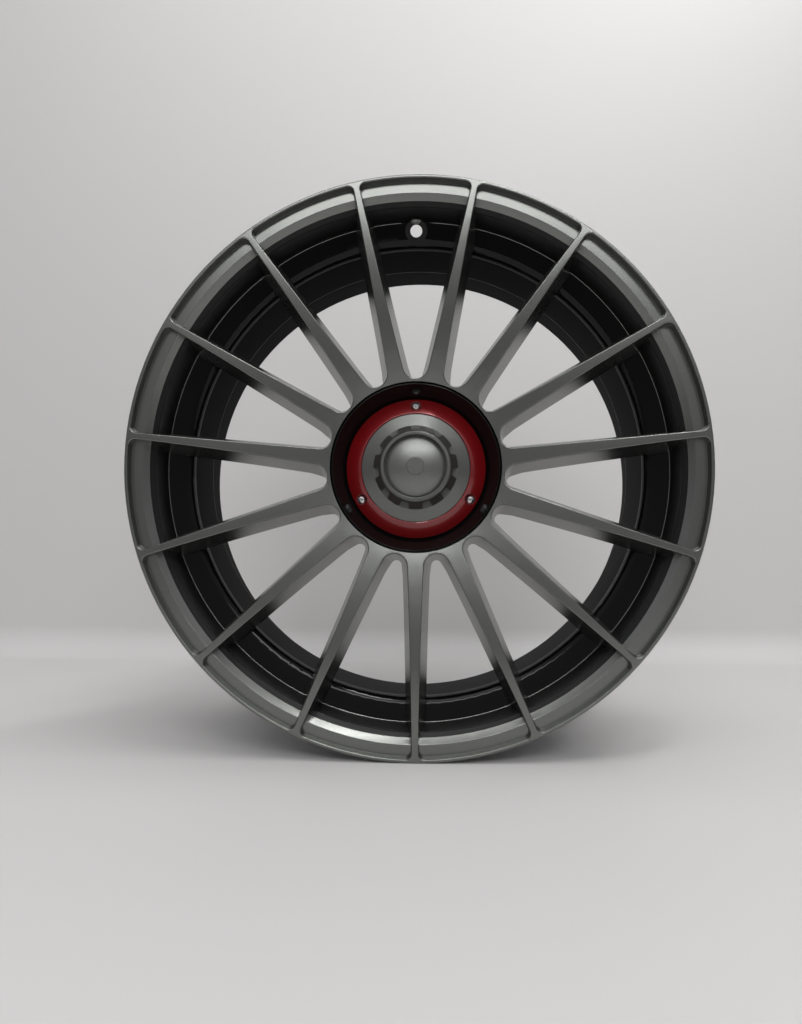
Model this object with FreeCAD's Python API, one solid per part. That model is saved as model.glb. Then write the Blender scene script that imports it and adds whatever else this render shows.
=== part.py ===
import FreeCAD, Part
import math
import os

from FreeCAD import Vector

# Car wheel rim with a centre-lock look hub cover, in millimetres.
# The wheel axis is Y. The outer face looks towards -Y, the hub side towards +Y, and Z is up.
# The origin is on the axis, half way between the two flanges.

# Rim standard
bead_seat_diameter = 482.6
rim_width = 215.9
flange_height = 17.3
flange_thickness = 13.5
flange_arc = 9.4
flange_tip_rounding = 1.5
bead_corner_radius = 6.5
bead_seat_width = 20.0
bead_seat_taper_deg = 5.0
hump_height = 1.0
hump_width = 6.0

# Barrel
barrel_wall = 5.0
well_wall = 4.8
well_inner_radius = 212.0
well_length = 65.0
well_front_depth = 50.0
well_slope_deg = 75.0
well_front_rounding = 10.0
rear_slope_deg = 36.0
well_edge_rounding = 3.0
well_front_foot_rounding = 6.0
well_rear_foot_rounding = 8.0
rear_slope_rounding = 12.0
rear_shoulder_rounding = 10.0
rear_lip_radius = 243.0
rear_lip_chamfer = 3.0
rear_lip_rounding = 1.0
barrel_draft_deg = 2.0

# Lip between the spokes
lip_ring_width = 3.1
lip_floor_depth = 7.5
lip_floor_width = 10.8
lip_cove_radius = 2.0
lip_bevel_height = 5.0
lip_edge_rounding = 0.8
lip_foot_height = 3.0
lip_foot_rounding = 3.0

# Spokes and the pockets between them
spoke_count = 15
spoke_width_at_rim = 5.5
spoke_draft_deg = 8.0
spoke_depth_at_rim = 45.0
spoke_depth_at_hub = 42.0
spoke_edge_radius = 1.0
spoke_root_width = 22.0
face_drop = 21.5
pocket_hub_land = 2.6
pocket_end_radius = 14.4
pocket_corner_radius = 5.5

# Hub of the wheel
hub_offset = 40.0
hub_pad_radius = 78.0
hub_recess_radius = 77.9
hub_plate = 22.0
centre_bore_diameter = 75.0
centre_bore_length = 13.0
centre_bore_chamfer = 1.5
cap_lip_radius = 35.5
cap_lip_thickness = 3.5
cap_groove_radius = 39.0
bolt_count = 5
bolt_circle_diameter = 112.0
bolt_hole_diameter = 15.0
bolt_seat_diameter = 28.0
bolt_seat_angle_deg = 60.0
pad_relief_depth = 10.0
pad_relief_width = 16.0
pad_relief_angle_deg = 30.0
pad_relief_corner = 5.0

# Valve hole
valve_hole_diameter = 11.3
valve_tilt_deg = 22.0
valve_hole_radius = 226.5
valve_spot_diameter = 21.0
valve_spot_depth = 1.2

# Hub cover
cover_gap = 1.3
cover_wall = 2.8
cover_recess = 0.5
cover_rim_width = 1.2
cover_edge_radius = 0.9
dish_depth = 20.5
dish_inner_radius = 65.0
cover_step_radius = 51.0
cover_step_height = 7.5
cover_step_rounding = 0.5
dish_foot_rounding = 1.0
leg_wall = 3.0
leg_clearance = 0.3
leg_root_rounding = 1.0
leg_count = 8
leg_slot_width = 6.0
leg_slot_length = 16.0
hook_height = 1.3
hook_length = 4.0
hook_play = 0.2
screw_boss_diameter = 10.0
screw_boss_height = 5.5
thread_play = 0.05

# Retaining spring inside the cover's legs
spring_wire_diameter = 2.5
spring_clearance = 0.15
spring_groove_depth = 0.5
spring_gap_deg = 16.0

# Trim ring and its screws
ring_clearance = 0.6
ring_outer_thickness = 3.5
ring_inner_radius = 49.8
ring_rise = 8.5
ring_edge_rounding = 0.7
ring_screw_count = 3
ring_screw_circle_radius = 57.5
screw_thread_diameter = 5.0
screw_head_diameter = 9.5
screw_head_height = 2.75
screw_socket_size = 3.0
screw_socket_depth = 1.8
screw_length = 8.0
screw_hole_clearance = 0.25
screw_recess_clearance = 0.5
screw_under_head = 4.0

# Crown of the centre nut
nut_tongue_width = 1.0
nut_tongue_thickness = 1.2
nut_clearance = 0.3
nut_edge_height = 3.5
nut_flange_rise = 4.5
nut_base_radius = 38.3
nut_skirt_height = 13.0
nut_top_radius = 32.0
nut_rim_width = 3.7
nut_rim_chamfer = 1.2
nut_rim_rounding = 0.4
nut_edge_rounding = 0.6
nut_foot_rounding = 0.8
nut_recess_depth = 8.0
nut_wall = 3.0
nut_ledge = 3.0
notch_count = 11
notch_outer_width = 9.6
notch_inner_width = 6.4
notch_floor_radius = 33.2

# Domed cap and the plain disc in its middle
dome_gap = 1.6
dome_rise = 5.0
dome_edge_thickness = 3.0
dome_shell = 2.2
badge_radius = 7.7
badge_gap = 0.35
badge_recess = 1.2
badge_thickness = 1.0
badge_edge_radius = 0.3

# Places worked out from the sizes above
bead_radius = bead_seat_diameter / 2
rim_radius = bead_radius + flange_height
bead_face_y = rim_width / 2
front_y = -(bead_face_y + flange_thickness)
rear_y = -front_y
lip_radius = rim_radius - lip_ring_width
draft = math.tan(math.radians(spoke_draft_deg))
hub_y = -hub_offset
recess_floor_y = hub_y - hub_plate
bore_radius = centre_bore_diameter / 2
face_arc_radius = ((lip_radius - hub_recess_radius) ** 2 + face_drop ** 2) / (2 * face_drop)
seat_taper = math.tan(math.radians(bead_seat_taper_deg))
seat_inner_radius = bead_radius - (bead_seat_width - bead_corner_radius) * seat_taper
shoulder_radius = seat_inner_radius - hump_height
barrel_radius = seat_inner_radius - barrel_wall
well_slope = math.tan(math.radians(well_slope_deg))
well_front_y = front_y + well_front_depth
lip_floor_y = front_y + lip_floor_depth
bevel_y = lip_floor_y + lip_bevel_height
ring_join_y = front_y + flange_tip_rounding
ring_root_radius = lip_radius + lip_ring_width / 3
line_y = well_front_y - well_wall
line_radius = barrel_radius - (line_y - bevel_y) * math.tan(math.radians(barrel_draft_deg))
leg_radius = cap_lip_radius - leg_clearance
leg_inner_radius = leg_radius - leg_wall
cover_radius = hub_recess_radius - cover_gap
dish_outer_radius = cover_radius - cover_rim_width
cover_top_y = front_y + face_drop + cover_recess
cover_floor_y = cover_top_y + dish_depth
nut_seat_y = cover_floor_y - cover_step_height
ring_radius = dish_inner_radius - ring_clearance
ring_outer_y = cover_floor_y - ring_outer_thickness
ring_inner_y = ring_outer_y - ring_rise
screw_seat_y = cover_floor_y - screw_under_head
nut_tongue_radius = ring_inner_radius + nut_tongue_width
nut_edge_y = nut_seat_y - nut_edge_height
nut_base_y = nut_edge_y - nut_flange_rise
nut_rim_y = nut_base_y - nut_skirt_height - nut_rim_chamfer
nut_recess_radius = nut_top_radius - nut_rim_width
nut_ledge_y = nut_rim_y + nut_recess_depth
dome_radius = nut_recess_radius - dome_gap
dome_edge_y = nut_ledge_y - dome_edge_thickness
badge_seat_y = dome_edge_y - dome_rise + badge_recess
axis = Vector(0, 1, 0)
origin = Vector(0, 0, 0)

# Overlaps that only make cuts and joins clean
overcut = 1.0
join_depth = 1.0
pocket_lead = 5.0
notch_lead = 5.0
same_place = 0.02


def face_y(radius):
    """Height of the concave outer face at a radius."""
    run = lip_radius - radius
    return front_y + face_arc_radius - math.sqrt(face_arc_radius ** 2 - run ** 2)


def section_edges(corners):
    """Edges through (radius, y, rounding) corners in order, with a tangent arc where rounding is not zero."""
    points = [Vector(corner[0], corner[1], 0) for corner in corners]
    starts = []
    ends = []
    arcs = []
    for index, corner in enumerate(corners):
        here = points[index]
        rounding = corner[2]
        if rounding == 0:
            starts.append(here)
            ends.append(here)
            arcs.append(None)
            continue
        to_last = (points[index - 1] - here).normalize()
        to_next = (points[(index + 1) % len(points)] - here).normalize()
        half = to_last.getAngle(to_next) / 2
        reach = rounding / math.tan(half)
        middle = (to_last + to_next).normalize() * (rounding / math.sin(half) - rounding)
        starts.append(here + to_last * reach)
        ends.append(here + to_next * reach)
        arcs.append(Part.Arc(starts[-1], here + middle, ends[-1]).toShape())
    edges = []
    for index in range(len(corners)):
        following = (index + 1) % len(corners)
        if arcs[index] is not None:
            edges.append(arcs[index])
        if ends[index].distanceToPoint(starts[following]) > 1e-6:
            edges.append(Part.LineSegment(ends[index], starts[following]).toShape())
    return edges


def revolve_edges(edges):
    """Solid made by turning a closed section about the wheel axis."""
    face = Part.Face(Part.Wire(Part.__sortEdges__(edges)))
    return face.revolve(origin, axis, 360)


def revolve(corners):
    """Solid of revolution from rounded corners."""
    return revolve_edges(section_edges(corners))


def around(shape, angle_deg):
    """Copy of a shape turned about the wheel axis, counter-clockwise as seen from the front."""
    copy = shape.copy()
    copy.rotate(origin, axis, -angle_deg)
    return copy


def pattern(shape, count, first_deg=0.0):
    """Evenly spaced copies of a shape that was made at the top of the wheel."""
    return [around(shape, first_deg + index * 360.0 / count) for index in range(count)]


def post(radius, y_from, y_to, distance):
    """Cylinder along the wheel axis at a distance straight up from it."""
    return Part.makeCylinder(radius, y_to - y_from, Vector(0, y_from, distance), axis)


def make_barrel():
    """Rim ring: flanges, bead seats, well and the stepped lip that shows between the spokes."""
    seat_inner_y = bead_face_y - bead_seat_width
    hump_y = seat_inner_y - hump_width / 2
    after_hump_y = seat_inner_y - hump_width
    well_outer_radius = well_inner_radius + well_wall
    well_rear_y = well_front_y + well_length
    front_run = (shoulder_radius - well_outer_radius) / well_slope
    rear_run = (shoulder_radius - well_outer_radius) / math.tan(math.radians(rear_slope_deg))
    bevel_inner_radius = bead_radius - barrel_wall / 3
    floor_inner_radius = lip_radius - lip_floor_width
    outside = [
        (rim_radius, ring_join_y, 0),
        (rim_radius, -bead_face_y, flange_arc),
        (bead_radius, -bead_face_y, bead_corner_radius),
        (seat_inner_radius, -seat_inner_y, 0),
        (seat_inner_radius + hump_height, -hump_y, hump_width / 4),
        (shoulder_radius, -after_hump_y, 0),
        (shoulder_radius, well_front_y, well_edge_rounding),
        (well_outer_radius, well_front_y + front_run, well_front_foot_rounding),
        (well_outer_radius, well_rear_y, well_rear_foot_rounding),
        (shoulder_radius, well_rear_y + rear_run, rear_slope_rounding),
        (shoulder_radius, after_hump_y, 0),
        (seat_inner_radius + hump_height, hump_y, hump_width / 4),
        (seat_inner_radius, seat_inner_y, 0),
        (bead_radius, bead_face_y, bead_corner_radius),
        (rim_radius, bead_face_y, flange_arc),
        (rim_radius, rear_y, flange_tip_rounding),
    ]
    inside = [
        (rear_lip_radius + rear_lip_chamfer, rear_y, rear_lip_rounding),
        (rear_lip_radius, rear_y - rear_lip_chamfer, rear_lip_rounding),
        (barrel_radius, bead_face_y - bead_corner_radius, rear_shoulder_rounding),
        (line_radius, well_rear_y + rear_run + barrel_wall, rear_slope_rounding),
        (well_inner_radius, well_rear_y + barrel_wall / 2, well_rear_foot_rounding),
        (well_inner_radius, line_y + (line_radius - well_inner_radius) / well_slope, well_front_rounding),
        (line_radius, line_y, 0),
        (barrel_radius, bevel_y + lip_foot_height, lip_foot_rounding),
        (bevel_inner_radius, bevel_y, 0),
        (floor_inner_radius, lip_floor_y, lip_edge_rounding),
        (lip_radius, lip_floor_y, lip_cove_radius),
        (ring_root_radius, ring_join_y, 0),
    ]
    return revolve(outside + inside)


def pocket_outline(inset, y):
    """Closed outline of the pocket at the top of the wheel, shrunk by an inset, in the plane at y."""
    half_pitch = math.pi / spoke_count
    end_centre = hub_recess_radius + pocket_hub_land - face_drop * draft + pocket_end_radius
    half_width = spoke_width_at_rim / 2
    along = math.sqrt(lip_radius ** 2 - half_width ** 2)
    rim_x = along * math.sin(half_pitch) - half_width * math.cos(half_pitch)
    rim_z = along * math.cos(half_pitch) + half_width * math.sin(half_pitch)
    reach = math.hypot(rim_x, rim_z - end_centre)
    lean = math.atan2(rim_x, rim_z - end_centre) - math.asin(pocket_end_radius / reach)
    end_radius = pocket_end_radius - inset
    outer_radius = lip_radius - inset
    side = Vector(end_radius * math.cos(lean), y, end_centre - end_radius * math.sin(lean))
    run = Vector(math.sin(lean), 0, math.cos(lean))
    shadow = side.x * run.x + side.z * run.z
    length = math.sqrt(shadow ** 2 - side.x ** 2 - side.z ** 2 + outer_radius ** 2) - shadow
    corner = side + run * length
    bottom = Vector(0, y, end_centre - end_radius)
    top = Vector(0, y, outer_radius)

    def left(point):
        return Vector(-point.x, point.y, point.z)

    edges = [
        Part.Arc(left(side), bottom, side).toShape(),
        Part.LineSegment(side, corner).toShape(),
        Part.Arc(corner, top, left(corner)).toShape(),
        Part.LineSegment(left(corner), left(side)).toShape(),
    ]
    return Part.Wire(edges)


def make_pocket():
    """Cutter for one window between two spokes, drafted so that the spokes widen towards the back."""
    start_y = front_y - pocket_lead
    end_y = hub_y - 2 * overcut
    front = pocket_outline((start_y - front_y) * draft, start_y)
    back = pocket_outline((end_y - front_y) * draft, end_y)
    cutter = Part.makeLoft([front, back], True, True)
    corners = []
    for edge in cutter.Edges:
        first = edge.Vertexes[0].Point
        last = edge.Vertexes[-1].Point
        crosses = abs(first.y - last.y) > pocket_lead
        far_out = min(first.z, last.z) > lip_radius / 2
        if crosses and far_out:
            corners.append(edge)
    return cutter.makeFillet(pocket_corner_radius, corners)


def make_face():
    """Hub and spoke disc before it joins the barrel, with its pockets cut and their front edges rounded."""
    spoke_rear_y = front_y + spoke_depth_at_rim
    spoke_root_radius = hub_pad_radius + spoke_root_width
    root_y = face_y(spoke_root_radius) + spoke_depth_at_hub
    mid_radius = (spoke_root_radius + lip_radius) / 2
    inner_radius = line_radius + barrel_wall / 2
    back = Part.Arc(
        Vector(inner_radius, spoke_rear_y, 0),
        Vector(mid_radius, face_y(mid_radius) + (spoke_depth_at_rim + spoke_depth_at_hub) / 2, 0),
        Vector(spoke_root_radius, root_y, 0),
    )
    mid_face_radius = (hub_recess_radius + lip_radius) / 2
    face = Part.Arc(
        Vector(hub_recess_radius, face_y(hub_recess_radius), 0),
        Vector(mid_face_radius, face_y(mid_face_radius), 0),
        Vector(lip_radius, front_y, 0),
    )
    ring_depth_y = lip_floor_y + join_depth
    lip_groove_y = recess_floor_y + cap_lip_thickness
    bore_end_y = hub_y - centre_bore_length
    corners = [
        (rim_radius, ring_join_y),
        (ring_root_radius, ring_depth_y),
        (bead_radius + 2 * join_depth, ring_depth_y),
        (inner_radius + join_depth, bevel_y + lip_foot_height + join_depth),
        (inner_radius, spoke_rear_y),
        None,
        (spoke_root_radius, root_y),
        (hub_pad_radius, hub_y),
        (bore_radius + centre_bore_chamfer, hub_y),
        (bore_radius, hub_y - centre_bore_chamfer),
        (bore_radius, bore_end_y),
        (cap_groove_radius, bore_end_y),
        (cap_groove_radius, lip_groove_y),
        (cap_lip_radius, lip_groove_y),
        (cap_lip_radius, recess_floor_y),
        (hub_recess_radius, recess_floor_y),
        (hub_recess_radius, face_y(hub_recess_radius)),
    ]
    tip_radius = rim_radius - flange_tip_rounding
    tip_reach = flange_tip_rounding * math.sqrt(0.5)
    tip = Part.Arc(
        Vector(tip_radius, front_y, 0),
        Vector(tip_radius + tip_reach, ring_join_y - tip_reach, 0),
        Vector(rim_radius, ring_join_y, 0),
    )
    ring = Part.LineSegment(Vector(lip_radius, front_y, 0), Vector(tip_radius, front_y, 0))
    edges = [face.toShape(), back.toShape(), ring.toShape(), tip.toShape()]
    for here, following in zip(corners, corners[1:]):
        if here and following:
            edges.append(Part.LineSegment(Vector(*here, 0), Vector(*following, 0)).toShape())
    disc = revolve_edges(edges)
    disc = disc.cut(pattern(make_pocket(), spoke_count))
    rims = []
    for edge in disc.Edges:
        middle = edge.valueAt((edge.FirstParameter + edge.LastParameter) / 2)
        radius = math.hypot(middle.x, middle.z)
        inside_ring = hub_recess_radius + same_place < radius < lip_radius + same_place
        if inside_ring and abs(middle.y - face_y(radius)) < same_place:
            rims.append(edge)
    return disc.makeFillet(spoke_edge_radius, rims)


def make_bolt_cutter():
    """One wheel bolt hole with its conical seat, at the top of the bolt circle."""
    circle_radius = bolt_circle_diameter / 2
    hole = post(bolt_hole_diameter / 2, recess_floor_y - overcut, hub_y + overcut, circle_radius)
    seat_radius = bolt_seat_diameter / 2
    hole_radius = bolt_hole_diameter / 2
    seat_depth = (seat_radius - hole_radius) / math.tan(math.radians(bolt_seat_angle_deg / 2))
    seat_start = Vector(0, recess_floor_y, circle_radius)
    seat = Part.makeCone(seat_radius, hole_radius, seat_depth, seat_start, axis)
    return hole.fuse(seat)


def make_pad_relief():
    """Rounded pocket in the mounting pad, cast between two bolt holes to save weight."""
    circle_radius = bolt_circle_diameter / 2
    inner_radius = circle_radius - pad_relief_width / 2
    outer_radius = circle_radius + pad_relief_width / 2
    start_y = hub_y - pad_relief_depth
    depth = pad_relief_depth + overcut
    outer = Part.makeCylinder(outer_radius, depth, origin, axis, pad_relief_angle_deg)
    inner = Part.makeCylinder(inner_radius, depth, origin, axis, pad_relief_angle_deg)
    relief = outer.cut(inner)
    relief.translate(Vector(0, start_y, 0))
    corners = [edge for edge in relief.Edges if abs(edge.tangentAt(edge.FirstParameter).y) > 0.99]
    relief = relief.makeFillet(pad_relief_corner, corners).Solids[0]
    centre = relief.CenterOfMass
    relief.rotate(origin, axis, -math.degrees(math.atan2(centre.x, centre.z)))
    return relief


def make_valve_cutter():
    """Tilted valve hole through the front wall of the well, with its spot face on the inner side."""
    tilt = math.radians(valve_tilt_deg)
    drill = Vector(0, math.cos(tilt), math.sin(tilt))
    wall_y = line_y + (line_radius - valve_hole_radius) / well_slope
    centre = Vector(0, wall_y, valve_hole_radius)
    reach = 3 * well_wall
    hole = Part.makeCylinder(valve_hole_diameter / 2, 2 * reach, centre - drill * reach, drill)
    spot_start = centre + drill * (valve_spot_depth - reach)
    spot = Part.makeCylinder(valve_spot_diameter / 2, reach, spot_start, drill)
    return hole.fuse(spot)


def make_wheel():
    """The one-piece cast wheel."""
    wheel = make_face().fuse(make_barrel())
    bolt_first_deg = 180.0 / bolt_count
    cutters = pattern(make_bolt_cutter(), bolt_count, bolt_first_deg)
    cutters += pattern(make_pad_relief(), bolt_count)
    cutters.append(make_valve_cutter())
    return wheel.cut(cutters)


def make_hub_cover():
    """Dished cover: skirt on the recess floor, sloping dish, ring seat, raised nut seat and snap legs."""
    slope = (dish_outer_radius - dish_inner_radius) / dish_depth
    shift = cover_wall * math.sqrt(1 + slope ** 2)
    skirt_inner_radius = cover_radius - cover_wall
    under_floor_y = cover_floor_y + cover_wall
    under_dish_radius = dish_inner_radius + shift - cover_wall * slope
    meet_y = cover_floor_y - (skirt_inner_radius - dish_inner_radius - shift) / slope
    hook_start_y = recess_floor_y + cap_lip_thickness + hook_play
    leg_end_y = hook_start_y + hook_length
    hook_radius = leg_radius + hook_height
    groove_y = hook_start_y + hook_length / 2
    groove_half = spring_wire_diameter / 2 + spring_clearance
    cover = revolve([
        (cover_radius, recess_floor_y, 0),
        (cover_radius, cover_top_y, cover_edge_radius),
        (dish_outer_radius, cover_top_y, cover_edge_radius / 3),
        (dish_inner_radius, cover_floor_y, dish_foot_rounding),
        (cover_step_radius, cover_floor_y, 0),
        (cover_step_radius, nut_seat_y, cover_step_rounding),
        (leg_inner_radius, nut_seat_y, 0),
        (leg_inner_radius, groove_y - groove_half, 0),
        (leg_inner_radius + spring_groove_depth, groove_y - groove_half, 0),
        (leg_inner_radius + spring_groove_depth, groove_y + groove_half, 0),
        (leg_inner_radius, groove_y + groove_half, 0),
        (leg_inner_radius, leg_end_y, 0),
        (leg_radius - hook_height, leg_end_y, 0),
        (hook_radius, hook_start_y + hook_height, 0),
        (hook_radius, hook_start_y, 0),
        (leg_radius, hook_start_y, 0),
        (leg_radius, nut_seat_y + cover_wall, leg_root_rounding),
        (cover_step_radius - cover_wall, nut_seat_y + cover_wall, 0),
        (cover_step_radius - cover_wall, under_floor_y, 0),
        (under_dish_radius, under_floor_y, 0),
        (skirt_inner_radius, meet_y, 0),
        (skirt_inner_radius, recess_floor_y, 0),
    ])
    slot_start_y = leg_end_y - leg_slot_length
    slot = Part.makeBox(
        leg_slot_width, leg_slot_length + overcut, 4 * leg_wall,
        Vector(-leg_slot_width / 2, slot_start_y, leg_inner_radius - leg_wall),
    )
    boss_end_y = cover_floor_y + screw_boss_height
    boss = post(screw_boss_diameter / 2, cover_floor_y + cover_wall / 2, boss_end_y, ring_screw_circle_radius)
    hole_radius = screw_thread_diameter / 2 + thread_play
    hole = post(hole_radius, cover_floor_y - overcut, boss_end_y + overcut, ring_screw_circle_radius)
    cover = cover.fuse(pattern(boss, ring_screw_count))
    cover = cover.cut(pattern(slot, leg_count) + pattern(hole, ring_screw_count))
    return cover


def make_spring():
    """Open wire ring that keeps the cover's snap legs pressed outwards."""
    wire_radius = spring_wire_diameter / 2
    coil_radius = leg_inner_radius + spring_groove_depth - spring_clearance - wire_radius
    groove_y = recess_floor_y + cap_lip_thickness + hook_play + hook_length / 2
    centre = Vector(0, groove_y, 0)
    return Part.makeTorus(coil_radius, wire_radius, centre, axis, 0, 360, 360 - spring_gap_deg)


def make_trim_ring():
    """Conical ring on the cover's floor, with counterbored holes for its screws."""
    lip_under_y = nut_seat_y - nut_tongue_thickness - nut_clearance
    foot_radius = cover_step_radius + nut_clearance
    ring = revolve([
        (ring_radius, cover_floor_y, 0),
        (ring_radius, ring_outer_y, ring_edge_rounding),
        (ring_inner_radius, ring_inner_y, ring_edge_rounding),
        (ring_inner_radius, lip_under_y, 0),
        (foot_radius, lip_under_y, 0),
        (foot_radius, cover_floor_y, 0),
    ])
    recess_radius = screw_head_diameter / 2 + screw_recess_clearance
    recess = post(recess_radius, ring_inner_y - overcut, screw_seat_y, ring_screw_circle_radius)
    hole_radius = screw_thread_diameter / 2 + screw_hole_clearance
    hole = post(hole_radius, screw_seat_y - overcut, cover_floor_y + overcut, ring_screw_circle_radius)
    return ring.cut(pattern(recess.fuse(hole), ring_screw_count))


def make_ring_screws():
    """Three button head screws with hexagon sockets."""
    head_radius = screw_head_diameter / 2
    head_top_y = screw_seat_y - screw_head_height
    dome = (head_radius ** 2 + screw_head_height ** 2) / (2 * screw_head_height)
    shank_end_y = screw_seat_y + screw_length
    shank = post(screw_thread_diameter / 2, screw_seat_y, shank_end_y, ring_screw_circle_radius)
    head = post(head_radius, head_top_y, screw_seat_y, ring_screw_circle_radius)
    ball = Part.makeSphere(dome, Vector(0, head_top_y + dome, ring_screw_circle_radius))
    corner_radius = screw_socket_size / math.sqrt(3)
    corners = []
    for index in range(7):
        turn = math.radians(60 * index)
        across = corner_radius * math.sin(turn)
        up = ring_screw_circle_radius + corner_radius * math.cos(turn)
        corners.append(Vector(across, head_top_y - overcut, up))
    socket = Part.Face(Part.makePolygon(corners)).extrude(Vector(0, screw_socket_depth + overcut, 0))
    screw = head.common(ball).fuse(shank).cut(socket)
    return Part.makeCompound(pattern(screw, ring_screw_count))


def make_lock_nut():
    """Crown nut: tongue under the ring, conical flange, notched skirt, rim and the recess for the dome."""
    flange_radius = ring_inner_radius - nut_clearance
    tongue_y = nut_seat_y - nut_tongue_thickness
    crown = revolve([
        (nut_tongue_radius, nut_seat_y, 0),
        (nut_tongue_radius, tongue_y, 0),
        (flange_radius, tongue_y, 0),
        (flange_radius, nut_edge_y, nut_edge_rounding),
        (nut_base_radius, nut_base_y, nut_foot_rounding),
        (nut_top_radius, nut_rim_y + nut_rim_chamfer, nut_rim_rounding),
        (nut_top_radius - nut_rim_chamfer, nut_rim_y, nut_rim_rounding),
        (nut_recess_radius, nut_rim_y, nut_rim_rounding),
        (nut_recess_radius, nut_ledge_y, 0),
        (nut_recess_radius - nut_ledge, nut_ledge_y, 0),
        (nut_recess_radius - nut_ledge, nut_ledge_y + nut_wall, 0),
        (nut_top_radius - nut_wall, nut_ledge_y + nut_wall, 0),
        (nut_base_radius - nut_wall, nut_base_y + nut_wall, 0),
        (nut_base_radius - nut_wall, nut_seat_y, 0),
    ])
    flare = (notch_outer_width - notch_inner_width) / 2 / (nut_base_radius - notch_floor_radius)
    far_radius = nut_base_radius + notch_lead
    far_half_width = notch_outer_width / 2 + flare * notch_lead
    start_y = nut_rim_y - overcut
    floor = notch_floor_radius
    notch_wire = Part.makePolygon([
        Vector(-notch_inner_width / 2, start_y, floor),
        Vector(notch_inner_width / 2, start_y, floor),
        Vector(far_half_width, start_y, far_radius),
        Vector(-far_half_width, start_y, far_radius),
        Vector(-notch_inner_width / 2, start_y, floor),
    ])
    notch = Part.Face(notch_wire).extrude(Vector(0, nut_base_y - start_y, 0))
    return crown.cut(pattern(notch, notch_count))


def dome_section(lower):
    """Sphere radius and apex height of the dome, or of its underside when lower is the shell thickness."""
    radius = (dome_radius ** 2 + dome_rise ** 2) / (2 * dome_rise)
    return radius - lower, dome_edge_y - dome_rise + lower


def make_dome_cap():
    """Thin domed cap that sits on the ledge of the nut, with a shallow round recess in its middle."""
    outer_sphere, apex_y = dome_section(0)
    inner_sphere, under_y = dome_section(dome_shell)
    blank = post(dome_radius, apex_y - overcut, nut_ledge_y, 0)
    outer = Part.makeSphere(outer_sphere, Vector(0, apex_y + outer_sphere, 0))
    inner = Part.makeSphere(inner_sphere, Vector(0, under_y + inner_sphere, 0))
    hollow = post(dome_radius - dome_shell, apex_y, nut_ledge_y + overcut, 0)
    recess = post(badge_radius + badge_gap, apex_y - overcut, badge_seat_y, 0)
    return blank.common(outer).cut(hollow.common(inner)).cut(recess)


def make_centre_badge():
    """Plain disc in the middle of the dome."""
    top_y = badge_seat_y - badge_thickness
    badge = post(badge_radius, top_y, badge_seat_y, 0)
    front = [edge for edge in badge.Edges if abs(edge.CenterOfMass.y - top_y) < same_place]
    return badge.makeFillet(badge_edge_radius, front)


def main():
    """Build each piece and write it to its own file."""
    pieces = {
        "wheel": make_wheel,
        "hub_cover": make_hub_cover,
        "retaining_spring": make_spring,
        "trim_ring": make_trim_ring,
        "ring_screws": make_ring_screws,
        "lock_nut": make_lock_nut,
        "dome_cap": make_dome_cap,
        "centre_badge": make_centre_badge,
    }
    os.makedirs("parts", exist_ok=True)
    for name, make in pieces.items():
        make().exportStep("parts/" + name + ".step")


main()
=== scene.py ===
import math

import bpy
from mathutils import Matrix, Vector


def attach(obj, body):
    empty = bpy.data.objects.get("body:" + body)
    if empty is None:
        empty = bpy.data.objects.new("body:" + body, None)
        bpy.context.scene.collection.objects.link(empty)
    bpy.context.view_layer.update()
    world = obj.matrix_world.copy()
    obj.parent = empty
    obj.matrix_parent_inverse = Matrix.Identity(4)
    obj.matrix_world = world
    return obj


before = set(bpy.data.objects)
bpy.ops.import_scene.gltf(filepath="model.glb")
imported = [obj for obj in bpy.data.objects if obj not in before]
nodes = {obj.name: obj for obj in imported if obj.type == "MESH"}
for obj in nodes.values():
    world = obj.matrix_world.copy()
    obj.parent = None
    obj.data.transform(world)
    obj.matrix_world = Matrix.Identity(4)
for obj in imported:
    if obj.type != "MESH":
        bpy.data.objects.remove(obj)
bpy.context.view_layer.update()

# Places on the wheel that the paint follows, in metres from the axis or along it
paint_line_y = -0.0762
gloss_end_y = -0.0600
bevel_end_y = -0.1092
barrel_inner_radius = 0.205
band_inner_radius = 0.2295
flange_back_y = -0.1130
bead_side_radius = 0.2405
floor_z = -0.2586

# Where paints begin and end by a facet's lean: 1 faces the axis, -1 faces away from it
bead_side_lean = 0.3
outer_side_lean = -0.5
well_lean = 0.1
band_lean = 0.45
spoke_side_lean = 0.5

# Places of the wheel's paints in its list of materials; the last one is the black gloss with its reflection
# cut almost away, as painted shade
graphite_index, band_index, gloss_index, shaded_barrel_index = range(4)

# Shading
smooth_angle_deg = 32.0
weld_distance = 0.000001
flake_start = 0.35
flake_end = 0.65

# Camera worked out from the photo
camera_place = Vector((0.0135, -0.77465, -0.0662))
camera_forward = Vector((-0.0393, 0.9985, 0.0375))
camera_right = Vector((0.9992, 0.0392, 0.0015))
camera_lens = 26.37
camera_sensor_width = 36.0
camera_clip_start = 0.01


def new_material(name):
    """Empty principled material and its shader."""
    material = bpy.data.materials.new(name)
    material.use_nodes = True
    return material, material.node_tree, material.node_tree.nodes["Principled BSDF"]


def plain(name, colour, metallic, roughness, coat=0.0, coat_roughness=0.05):
    """Material with one colour and one gloss all over."""
    material, tree, shader = new_material(name)
    shader.inputs["Base Color"].default_value = (*colour, 1.0)
    shader.inputs["Metallic"].default_value = metallic
    shader.inputs["Roughness"].default_value = roughness
    shader.inputs["Coat Weight"].default_value = coat
    shader.inputs["Coat Roughness"].default_value = coat_roughness
    return material, tree, shader


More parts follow.
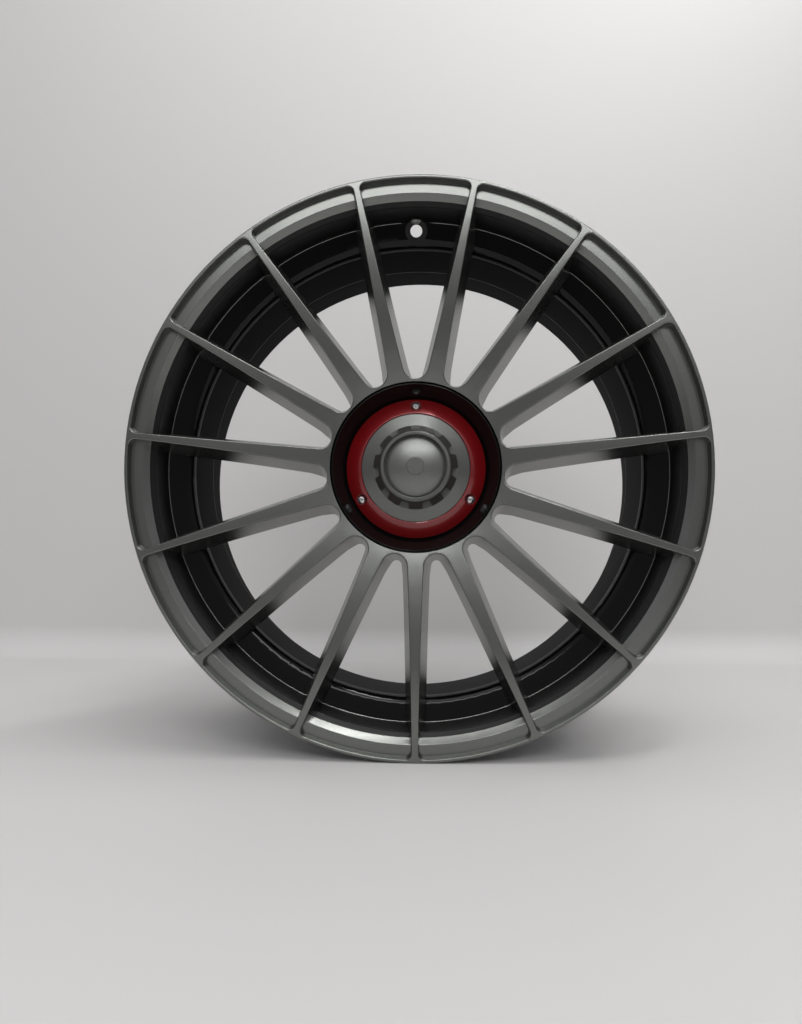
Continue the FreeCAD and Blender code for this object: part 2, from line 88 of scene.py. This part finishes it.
def add_flake(tree, shader, dark, light, scale):
    """Fine metal flake: a small change of colour from grain to grain."""
    place = tree.nodes.new("ShaderNodeTexCoord")
    noise = tree.nodes.new("ShaderNodeTexNoise")
    noise.inputs["Scale"].default_value = scale
    noise.inputs["Detail"].default_value = 2.0
    ramp = tree.nodes.new("ShaderNodeValToRGB")
    ramp.color_ramp.elements[0].position = flake_start
    ramp.color_ramp.elements[0].color = (*dark, 1.0)
    ramp.color_ramp.elements[1].position = flake_end
    ramp.color_ramp.elements[1].color = (*light, 1.0)
    tree.links.new(place.outputs["Object"], noise.inputs["Vector"])
    tree.links.new(noise.outputs["Fac"], ramp.inputs["Fac"])
    tree.links.new(ramp.outputs["Color"], shader.inputs["Base Color"])


def add_grain(tree, shader, scale, strength, distance):
    """Very fine surface unevenness."""
    place = tree.nodes.new("ShaderNodeTexCoord")
    noise = tree.nodes.new("ShaderNodeTexNoise")
    noise.inputs["Scale"].default_value = scale
    bump = tree.nodes.new("ShaderNodeBump")
    bump.inputs["Strength"].default_value = strength
    bump.inputs["Distance"].default_value = distance
    tree.links.new(place.outputs["Object"], noise.inputs["Vector"])
    tree.links.new(noise.outputs["Fac"], bump.inputs["Height"])
    tree.links.new(bump.outputs["Normal"], shader.inputs["Normal"])


def graphite(name, level, metallic, roughness):
    """Satin gunmetal paint."""
    material, tree, shader = plain(name, (level, level, level), metallic, roughness)
    dark = (level * 0.89, level * 0.91, level * 0.86)
    light = (level * 1.09, level * 1.12, level * 1.05)
    add_flake(tree, shader, dark, light, 1800.0)
    return material


def black_paint(name, level, roughness, specular):
    """Black paint with a little orange peel under its gloss."""
    material, tree, shader = plain(name, (level, level, level), 0.0, roughness)
    shader.inputs["Specular IOR Level"].default_value = specular
    add_grain(tree, shader, 260.0, 0.05, 0.0004)
    return material


def red_anodised(name):
    """Deep red gloss metal."""
    material, tree, shader = plain(name, (0.20, 0.004, 0.006), 0.30, 0.24, 1.0, 0.05)
    add_flake(tree, shader, (0.185, 0.0035, 0.0055), (0.215, 0.0045, 0.0065), 900.0)
    return material


def steel(name, level, roughness):
    """Bare steel with fine grain."""
    material, tree, shader = plain(name, (level, level, level), 1.0, roughness)
    add_grain(tree, shader, 1500.0, 0.08, 0.0002)
    return material


def smooth(node):
    """Smooth shading that keeps the sharper edges."""
    node.data.polygons.foreach_set("use_smooth", [True] * len(node.data.polygons))
    weld = node.modifiers.new("weld", "WELD")
    weld.merge_threshold = weld_distance
    split = node.modifiers.new("edges", "EDGE_SPLIT")
    split.split_angle = math.radians(smooth_angle_deg)
    weighted = node.modifiers.new("normals", "WEIGHTED_NORMAL")
    weighted.keep_sharp = True


def on_spoke(normal, centre):
    """True on the spokes' drafted sides, which face along the rim."""
    radius = math.hypot(centre.x, centre.z)
    return abs(normal.x * centre.z - normal.z * centre.x) / radius > spoke_side_lean


def on_outside(centre, radius, inward):
    """True on the tyre's side of the barrel and all over its rear part."""
    if centre.y <= flange_back_y:
        return False
    if radius > bead_side_radius and inward < bead_side_lean:
        return True
    return radius > barrel_inner_radius and (inward < outer_side_lean or centre.y > gloss_end_y)


def in_well(polygon, radius, inward):
    """True inside the barrel behind the paint line, but not on the spokes."""
    if polygon.center.y <= paint_line_y or radius <= barrel_inner_radius:
        return False
    return abs(inward) > well_lean and not on_spoke(polygon.normal, polygon.center)


def paint_index(polygon):
    """Which of the wheel's paints a facet takes."""
    centre = polygon.center
    radius = math.hypot(centre.x, centre.z)
    inward = -(polygon.normal.x * centre.x + polygon.normal.z * centre.z) / radius
    if on_outside(centre, radius, inward) or in_well(polygon, radius, inward):
        # Behind the gloss line the black gloss takes its copy with the reflection cut almost away: painted
        # shade
        return gloss_index if centre.y < gloss_end_y and inward > 0 else shaded_barrel_index
    in_band = bevel_end_y < centre.y <= paint_line_y and radius > band_inner_radius
    return band_index if in_band and inward > band_lean else graphite_index


def paint_wheel(node, paints):
    """Four paints on one casting, by where each facet is and which way it faces."""
    node.data.materials.clear()
    for material in paints:
        node.data.materials.append(material)
    for polygon in node.data.polygons:
        polygon.material_index = paint_index(polygon)


def paint(node, material):
    """One material all over a node."""
    node.data.materials.clear()
    node.data.materials.append(material)


def new_piece(name, points, faces, material):
    """Smooth mesh object in the scene."""
    mesh = bpy.data.meshes.new(name)
    mesh.from_pydata(points, [], faces)
    mesh.polygons.foreach_set("use_smooth", [True] * len(mesh.polygons))
    mesh.materials.append(material)
    piece = bpy.data.objects.new(name, mesh)
    bpy.context.scene.collection.objects.link(piece)
    return piece


def make_paint_edge(material):
    """Fine bead along the edge where the gloss black begins, open where the valve's spot face cuts it. It
    takes the lighter graphite given to it, a painted highlight along the rounded edge.
    """
    ring_radius = 0.23385
    wire_radius = 0.00045
    half_gap_angle = 0.050
    turns = 360
    sides = 8
    points = []
    faces = []
    for step in range(turns + 1):
        angle = half_gap_angle + 2 * (math.pi - half_gap_angle) * step / turns
        for side in range(sides):
            around = 2 * math.pi * side / sides
            radius = ring_radius + wire_radius * math.cos(around)
            height = paint_line_y + wire_radius * math.sin(around)
            points.append((radius * math.sin(angle), height, radius * math.cos(angle)))
    for step in range(turns):
        for side in range(sides):
            here = step * sides + side
            beside = step * sides + (side + 1) % sides
            faces.append((here, beside, beside + sides, here + sides))
    faces.append(tuple(range(sides)))
    faces.append(tuple(range(turns * sides, (turns + 1) * sides))[::-1])
    bead = new_piece("paint_edge", points, faces, material)
    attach(bead, "root")


def stage_paint():
    """Pale satin paint that is clear when seen from behind."""
    material, tree, shader = plain("pale_stage", (0.64, 0.63, 0.62), 0.0, 0.55)
    clear = tree.nodes.new("ShaderNodeBsdfTransparent")
    side = tree.nodes.new("ShaderNodeNewGeometry")
    mix = tree.nodes.new("ShaderNodeMixShader")
    tree.links.new(side.outputs["Backfacing"], mix.inputs["Fac"])
    tree.links.new(shader.outputs["BSDF"], mix.inputs[1])
    tree.links.new(clear.outputs["BSDF"], mix.inputs[2])
    tree.links.new(mix.outputs["Shader"], tree.nodes["Material Output"].inputs["Surface"])
    return material


def make_stage():
    """Pale table and wall in one sheet with a rounded corner."""
    half_width = 3.0
    wall_y = 0.46
    front_edge_y = -2.5
    wall_top = 2.6
    corner = 0.05
    steps = 12
    line = [(front_edge_y, floor_z)]
    for step in range(steps + 1):
        turn = math.pi / 2 * step / steps
        line.append((wall_y - corner + corner * math.sin(turn), floor_z + corner - corner * math.cos(turn)))
    line.append((wall_y, wall_top))
    points = [(side * half_width, y, z) for side in (-1, 1) for y, z in line]
    count = len(line)
    faces = [(count + i, count + i + 1, i + 1, i) for i in range(count - 1)]
    sheet = new_piece("stage", points, faces, stage_paint())


def make_light(name, place, target, width, height, energy):
    """Soft area light that the camera doesn't see."""
    data = bpy.data.lights.new(name, "AREA")
    data.shape = "RECTANGLE"
    data.size = width
    data.size_y = height
    data.energy = energy
    light = bpy.data.objects.new(name, data)
    light.location = place
    light.rotation_euler = (Vector(target) - Vector(place)).to_track_quat("-Z", "Y").to_euler()
    light.visible_camera = False
    bpy.context.scene.collection.objects.link(light)


def make_world():
    """Pale surroundings for the camera, and a softer room for light and reflections."""
    world = bpy.data.worlds.new("room")
    bpy.context.scene.world = world
    world.use_nodes = True
    tree = world.node_tree
    tree.nodes.clear()
    place = tree.nodes.new("ShaderNodeTexCoord")
    split = tree.nodes.new("ShaderNodeSeparateXYZ")
    ramp = tree.nodes.new("ShaderNodeValToRGB")
    ramp.color_ramp.elements[0].position = 0.38
    ramp.color_ramp.elements[0].color = (0.08, 0.08, 0.08, 1.0)
    ramp.color_ramp.elements[1].position = 0.78
    ramp.color_ramp.elements[1].color = (0.50, 0.50, 0.52, 1.0)
    shift = tree.nodes.new("ShaderNodeMath")
    shift.operation = "MULTIPLY_ADD"
    shift.inputs[1].default_value = 0.5
    shift.inputs[2].default_value = 0.5
    room = tree.nodes.new("ShaderNodeBackground")
    pale = tree.nodes.new("ShaderNodeBackground")
    pale.inputs["Color"].default_value = (0.66, 0.655, 0.68, 1.0)
    path = tree.nodes.new("ShaderNodeLightPath")
    mix = tree.nodes.new("ShaderNodeMixShader")
    out = tree.nodes.new("ShaderNodeOutputWorld")
    tree.links.new(place.outputs["Generated"], split.inputs["Vector"])
    tree.links.new(split.outputs["Z"], shift.inputs[0])
    tree.links.new(shift.outputs["Value"], ramp.inputs["Fac"])
    tree.links.new(ramp.outputs["Color"], room.inputs["Color"])
    tree.links.new(path.outputs["Is Camera Ray"], mix.inputs["Fac"])
    tree.links.new(room.outputs["Background"], mix.inputs[1])
    tree.links.new(pale.outputs["Background"], mix.inputs[2])
    tree.links.new(mix.outputs["Shader"], out.inputs["Surface"])


def make_camera():
    """Camera at the photo's place and angle."""
    data = bpy.data.cameras.new("camera")
    data.lens = camera_lens
    data.sensor_width = camera_sensor_width
    data.clip_start = camera_clip_start
    camera = bpy.data.objects.new("camera", data)
    back = -camera_forward.normalized()
    up = back.cross(camera_right).normalized()
    right = up.cross(back).normalized()
    turn = Matrix((right, up, back)).transposed()
    camera.matrix_world = Matrix.Translation(camera_place) @ turn.to_4x4()
    bpy.context.scene.collection.objects.link(camera)
    bpy.context.scene.camera = camera


def main():
    """Paint the CAD nodes, then light and frame them."""
    paint_wheel(
        nodes["wheel"],
        [
            graphite("graphite_paint", 0.19, 0.95, 0.27),
            black_paint("band_paint", 0.006, 0.38, 0.25),
            black_paint("gloss_paint", 0.002, 0.07, 0.24),
            # Same black gloss as the front, with its reflection cut almost away as painted shade on the
            # rear barrel and tyre side
            black_paint("barrel_paint_shaded", 0.003, 0.14, 0.006),
        ],
    )
    paint(nodes["hub_cover"], black_paint("cover_gloss", 0.004, 0.16, 0.22))
    paint(nodes["retaining_spring"], steel("spring_wire", 0.42, 0.30))
    paint(nodes["trim_ring"], red_anodised("ring_red"))
    paint(nodes["ring_screws"], steel("screw_bright", 0.66, 0.22))
    paint(nodes["lock_nut"], graphite("nut_paint", 0.16, 0.85, 0.32))
    paint(nodes["dome_cap"], graphite("dome_paint", 0.20, 0.90, 0.34))
    paint(nodes["centre_badge"], graphite("badge_paint", 0.22, 0.90, 0.30))
    for node in nodes.values():
        smooth(node)
    # Graphite lighter than the wheel's, so the bead shows a painted highlight along the edge
    make_paint_edge(graphite("edge_highlight_paint", 0.34, 0.95, 0.22))
    make_stage()
    make_world()
    make_light("front", (0.15, -1.9, 1.15), (0.0, 0.0, 0.1), 1.7, 0.45, 12.0)
    make_light("key", (-0.25, -1.3, 1.8), (0.0, -0.1, 0.0), 1.4, 0.8, 6.0)
    make_light("ceiling", (0.50, -0.45, 1.5), (0.0, -0.1, -0.1), 1.3, 0.14, 10.0)
    make_light("wall", (0.0, 0.05, 1.5), (0.0, 0.46, 0.25), 1.6, 0.3, 3.0)
    make_camera()
    bpy.context.scene.view_settings.view_transform = "Standard"


main()
